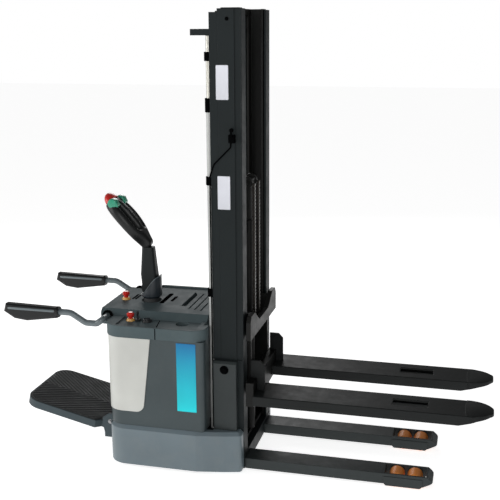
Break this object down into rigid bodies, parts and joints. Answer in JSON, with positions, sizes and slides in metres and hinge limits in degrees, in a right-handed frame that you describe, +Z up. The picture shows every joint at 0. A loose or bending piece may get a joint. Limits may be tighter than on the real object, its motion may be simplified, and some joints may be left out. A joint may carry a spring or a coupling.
{
  "type": "electric stacker",
  "caption": "Electric walk-and-ride stacker with a telescopic mast, straddle legs, forks, a tiller, a folding platform and folding guard arms.",
  "frame": {"origin": "middle of the whole machine's box, on the floor", "axes": "+X towards the fork tips, +Y to the rider's left, +Z up"},
  "size_m": [2.486, 0.776, 2.3],
  "materials": {
    "charcoal": "satin",
    "deck_grey": "satin",
    "side_grey": "satin",
    "panel_white": "satin",
    "steel": "satin",
    "chrome": "polished",
    "chain_steel": "oiled",
    "black_plastic": "matt",
    "grip_black": "gloss",
    "tube_grey": "satin",
    "red_plastic": "gloss",
    "yellow_plastic": "gloss",
    "mat_rubber": "matt",
    "wheel_orange": "satin",
    "tyre_black": "matt"
  },
  "bodies": {
    "chassis": {"chassis_frame": "charcoal", "skirt": "deck_grey", "body_cover": "side_grey", "corner_panels": "panel_white", "deck": "deck_grey", "stop_buttons": "red_plastic", "button_collars": "yellow_plastic", "key_and_gauge": "black_plastic", "limit_switch": "black_plastic", "switch_cable": "black_plastic", "straddle_legs": "charcoal", "outer_columns": "charcoal", "outer_mast_ties": "charcoal", "mast_brackets": "charcoal", "lift_cylinders": "charcoal", "duct_plate": "charcoal", "battery": "black_plastic", "pump_unit": "steel", "platform_hinge": "charcoal"},
    "lifting_mast": {"inner_columns": "charcoal", "inner_mast_ties": "charcoal", "lift_beam": "charcoal", "lift_rods": "chrome", "free_lift_cylinder": "charcoal", "rear_chains": "chain_steel"},
    "crosshead": {"crosshead": "charcoal", "front_chains": "chain_steel"},
    "carriage": {"carriage": "charcoal", "forks": "charcoal"},
    "steering": {"drive_unit": "steel", "tiller_boot": "mat_rubber", "tiller_cup": "deck_grey"},
    "tiller": {"tiller_arm": "deck_grey", "tiller_head": "grip_black", "belly_switch": "red_plastic"},
    "drive_wheel": {"drive_wheel": "tyre_black"},
    "platform": {"platform": "deck_grey", "platform_mat": "mat_rubber"},
    "caster_left": {"caster_fork_left": "steel"},
    "caster_wheel_left": {"caster_wheel_left": "tyre_black"},
    "load_wheel_left_front": {"load_wheel_left_front": "wheel_orange"},
    "load_wheel_left_rear": {"load_wheel_left_rear": "wheel_orange"},
    "guard_arm_left": {"guard_arm_left": "tube_grey", "guard_grip_left": "grip_black"},
    "caster_right": {"caster_fork_right": "steel"},
    "caster_wheel_right": {"caster_wheel_right": "tyre_black"},
    "load_wheel_right_front": {"load_wheel_right_front": "wheel_orange"},
    "load_wheel_right_rear": {"load_wheel_right_rear": "wheel_orange"},
    "guard_arm_right": {"guard_arm_right": "tube_grey", "guard_grip_right": "grip_black"}
  },
  "joints": [
    {"name": "mast_lift", "type": "slide", "parent": "chassis", "child": "lifting_mast", "axis": [0, 0, 1], "range_m": [0, 1.3]},
    {"name": "free_lift", "type": "slide", "parent": "lifting_mast", "child": "crosshead", "axis": [0, 0, 1], "range_m": [-0.172, 0.6], "deforming": ["rear_chains"]},
    {"name": "carriage_lift", "type": "slide", "parent": "crosshead", "child": "carriage", "axis": [0, 0, 1], "range_m": [-0.172, 0.6], "deforming": ["front_chains"]},
    {"name": "steering", "type": "hinge", "parent": "chassis", "child": "steering", "pos_m": [-0.547, 0, 0.205], "axis": [0, 0, 1], "range_deg": [-90, 90]},
    {"name": "tiller_tilt", "type": "hinge", "parent": "steering", "child": "tiller", "pos_m": [-0.547, 0, 0.872], "axis": [0, -1, 0], "range_deg": [0, 65]},
    {"name": "drive_spin", "type": "hinge", "parent": "steering", "child": "drive_wheel", "pos_m": [-0.547, 0, 0.11], "axis": [0, 1, 0], "continuous": true},
    {"name": "platform_fold", "type": "hinge", "parent": "chassis", "child": "platform", "pos_m": [-0.724, 0, 0.171], "axis": [0, 1, 0], "range_deg": [-13, 77]},
    {"name": "caster_left_swivel", "type": "hinge", "parent": "chassis", "child": "caster_left", "pos_m": [-0.492, 0.268, 0.205], "axis": [0, 0, 1], "continuous": true},
    {"name": "caster_left_spin", "type": "hinge", "parent": "caster_left", "child": "caster_wheel_left", "pos_m": [-0.53, 0.268, 0.0625], "axis": [0, 1, 0], "continuous": true},
    {"name": "load_wheel_left_front_spin", "type": "hinge", "parent": "chassis", "child": "load_wheel_left_front", "pos_m": [0.885, 0.215, 0.038], "axis": [0, 1, 0], "continuous": true},
    {"name": "load_wheel_left_rear_spin", "type": "hinge", "parent": "chassis", "child": "load_wheel_left_rear", "pos_m": [0.796, 0.215, 0.038], "axis": [0, 1, 0], "continuous": true},
    {"name": "guard_arm_left_fold", "type": "hinge", "parent": "chassis", "child": "guard_arm_left", "pos_m": [-0.703, 0.31, 0.772], "axis": [0, 1, 0], "range_deg": [0, 90]},
    {"name": "caster_right_swivel", "type": "hinge", "parent": "chassis", "child": "caster_right", "pos_m": [-0.492, -0.268, 0.205], "axis": [0, 0, 1], "continuous": true},
    {"name": "caster_right_spin", "type": "hinge", "parent": "caster_right", "child": "caster_wheel_right", "pos_m": [-0.53, -0.268, 0.0625], "axis": [0, 1, 0], "continuous": true},
    {"name": "load_wheel_right_front_spin", "type": "hinge", "parent": "chassis", "child": "load_wheel_right_front", "pos_m": [0.885, -0.215, 0.038], "axis": [0, 1, 0], "continuous": true},
    {"name": "load_wheel_right_rear_spin", "type": "hinge", "parent": "chassis", "child": "load_wheel_right_rear", "pos_m": [0.796, -0.215, 0.038], "axis": [0, 1, 0], "continuous": true},
    {"name": "guard_arm_right_fold", "type": "hinge", "parent": "chassis", "child": "guard_arm_right", "pos_m": [-0.703, -0.31, 0.772], "axis": [0, 1, 0], "range_deg": [0, 90]}
  ],
  "couplings": [
    {"joint": "free_lift", "follows": "carriage_lift", "ratio": 1}
  ]
}
